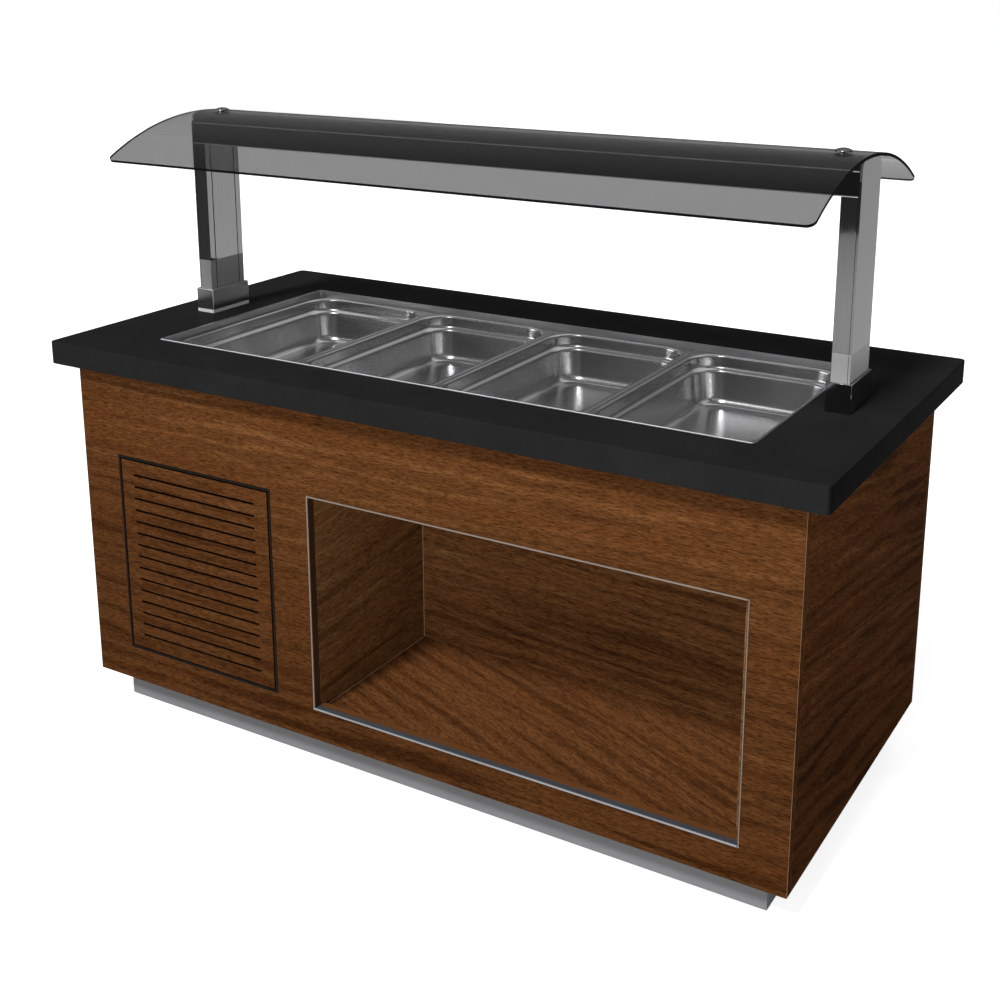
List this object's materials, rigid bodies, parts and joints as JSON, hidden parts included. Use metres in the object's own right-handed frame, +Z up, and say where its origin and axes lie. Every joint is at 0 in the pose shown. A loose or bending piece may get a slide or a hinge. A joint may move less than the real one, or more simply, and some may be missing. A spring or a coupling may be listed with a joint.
{
  "type": "mobile salad bar",
  "caption": "Laminate salad bar on hidden castors: stone worktop with a cold well for lift-out food pans, display niche, slotted vent door and a curved smoked glass guard on posts.",
  "frame": {"origin": "on the floor, below the middle of the worktop", "axes": "+X along the bar to the right as a guest faces it, -Y towards the guests (niche and vent door side), +Z up"},
  "size_m": [1.68, 0.836, 1.2793],
  "materials": {
    "worktop": "polished black stone with fine pale flecks",
    "laminate": "walnut laminate, satin, grain along the length",
    "lining": "walnut laminate, satin",
    "trim": "satin aluminium profile",
    "dark_frame": "matt dark brown paint",
    "plinth": "satin grey paint",
    "galvanised": "zinc plated",
    "castor_tread": "grey rubber",
    "stainless": "brushed stainless steel",
    "pan_steel": "satin stainless steel",
    "insulation": "rigid foam",
    "post_chrome": "polished",
    "beam": "satin black paint",
    "diffuser": "opal diffuser",
    "guard_glass": "smoked tempered glass",
    "unit_black": "black paint",
    "coil": "plain fins",
    "fan_plastic": "moulded",
    "control_case": "moulded",
    "control_plastic": "moulded"
  },
  "bodies": {
    "root": {"worktop": "worktop", "front_panel": "laminate", "back_panel": "laminate", "left_panel": "laminate", "right_panel": "laminate", "cabinet_floor": "lining", "niche_floor": "lining", "niche_back": "lining", "niche_left_side": "lining", "niche_right_side": "lining", "niche_top": "lining", "niche_trim": "trim", "vent_frame": "dark_frame", "plinth_skirt": "plinth", "chassis_frame": "galvanised", "castor_plate_front_left": "galvanised", "castor_plate_front_right": "galvanised", "castor_plate_back_left": "galvanised", "castor_plate_back_right": "galvanised", "unit_tray": "galvanised", "fan_shroud": "galvanised", "well_tank": "stainless", "cross_bar_1": "stainless", "cross_bar_2": "stainless", "cross_bar_3": "stainless", "drain_pipe": "stainless", "well_insulation": "insulation", "post_left": "post_chrome", "post_right": "post_chrome", "post_strip_left": "post_chrome", "post_strip_right": "post_chrome", "side_plate_left": "post_chrome", "side_plate_right": "post_chrome", "post_collar_left": "post_chrome", "post_collar_right": "post_chrome", "glass_knob_left": "post_chrome", "glass_knob_right": "post_chrome", "lamp_beam": "beam", "lamp_diffuser": "diffuser", "glass_guard": "guard_glass", "compressor": "unit_black", "fan_motor": "unit_black", "condenser_coil": "coil", "control_box": "control_case"},
    "vent_door": {"vent_door": "laminate"},
    "fan": {"fan_blades": "fan_plastic"},
    "dial": {"thermostat_dial": "control_plastic"},
    "rocker": {"power_rocker": "control_plastic"},
    "pan_1": {"food_pan_1": "pan_steel"},
    "pan_2": {"food_pan_2": "pan_steel"},
    "pan_3": {"food_pan_3": "pan_steel"},
    "pan_4": {"food_pan_4": "pan_steel"},
    "swivel_front_left": {"castor_fork_front_left": "galvanised"},
    "wheel_front_left": {"castor_wheel_front_left": "castor_tread"},
    "swivel_front_right": {"castor_fork_front_right": "galvanised"},
    "wheel_front_right": {"castor_wheel_front_right": "castor_tread"},
    "swivel_back_left": {"castor_fork_back_left": "galvanised"},
    "wheel_back_left": {"castor_wheel_back_left": "castor_tread"},
    "swivel_back_right": {"castor_fork_back_right": "galvanised"},
    "wheel_back_right": {"castor_wheel_back_right": "castor_tread"}
  },
  "joints": [
    {"name": "pan_1_lift", "type": "slide", "parent": "root", "child": "pan_1", "axis": [0, 0, 1], "range_m": [0, 0.28]},
    {"name": "pan_2_lift", "type": "slide", "parent": "root", "child": "pan_2", "axis": [0, 0, 1], "range_m": [0, 0.28]},
    {"name": "pan_3_lift", "type": "slide", "parent": "root", "child": "pan_3", "axis": [0, 0, 1], "range_m": [0, 0.28]},
    {"name": "pan_4_lift", "type": "slide", "parent": "root", "child": "pan_4", "axis": [0, 0, 1], "range_m": [0, 0.28]},
    {"name": "vent_door_hinge", "type": "hinge", "parent": "root", "child": "vent_door", "pos_m": [-0.6827, -0.376, 0.3665], "axis": [0, 0, -1], "range_deg": [0, 100]},
    {"name": "fan_spin", "type": "hinge", "parent": "root", "child": "fan", "pos_m": [-0.537, -0.26, 0.2186], "axis": [0, 1, 0], "continuous": true},
    {"name": "thermostat_turn", "type": "hinge", "parent": "root", "child": "dial", "pos_m": [-0.345, -0.343, 0.5325], "axis": [0, 1, 0], "range_deg": [0, 270]},
    {"name": "rocker_tilt", "type": "hinge", "parent": "root", "child": "rocker", "pos_m": [-0.345, -0.341, 0.4805], "axis": [-1, 0, 0], "range_deg": [0, 16]},
    {"name": "castor_swivel_front_left", "type": "hinge", "parent": "root", "child": "swivel_front_left", "pos_m": [-0.67069, -0.26469, 0.055], "axis": [0, 0, 1], "continuous": true},
    {"name": "castor_roll_front_left", "type": "hinge", "parent": "swivel_front_left", "child": "wheel_front_left", "pos_m": [-0.68669, -0.26469, 0.025], "axis": [0, 1, 0], "continuous": true},
    {"name": "castor_swivel_front_right", "type": "hinge", "parent": "root", "child": "swivel_front_right", "pos_m": [0.67069, -0.26469, 0.055], "axis": [0, 0, 1], "continuous": true},
    {"name": "castor_roll_front_right", "type": "hinge", "parent": "swivel_front_right", "child": "wheel_front_right", "pos_m": [0.65469, -0.26469, 0.025], "axis": [0, 1, 0], "continuous": true},
    {"name": "castor_swivel_back_left", "type": "hinge", "parent": "root", "child": "swivel_back_left", "pos_m": [-0.67069, 0.26469, 0.055], "axis": [0, 0, 1], "continuous": true},
    {"name": "castor_roll_back_left", "type": "hinge", "parent": "swivel_back_left", "child": "wheel_back_left", "pos_m": [-0.68669, 0.26469, 0.025], "axis": [0, 1, 0], "continuous": true},
    {"name": "castor_swivel_back_right", "type": "hinge", "parent": "root", "child": "swivel_back_right", "pos_m": [0.67069, 0.26469, 0.055], "axis": [0, 0, 1], "continuous": true},
    {"name": "castor_roll_back_right", "type": "hinge", "parent": "swivel_back_right", "child": "wheel_back_right", "pos_m": [0.65469, 0.26469, 0.025], "axis": [0, 1, 0], "continuous": true}
  ]
}
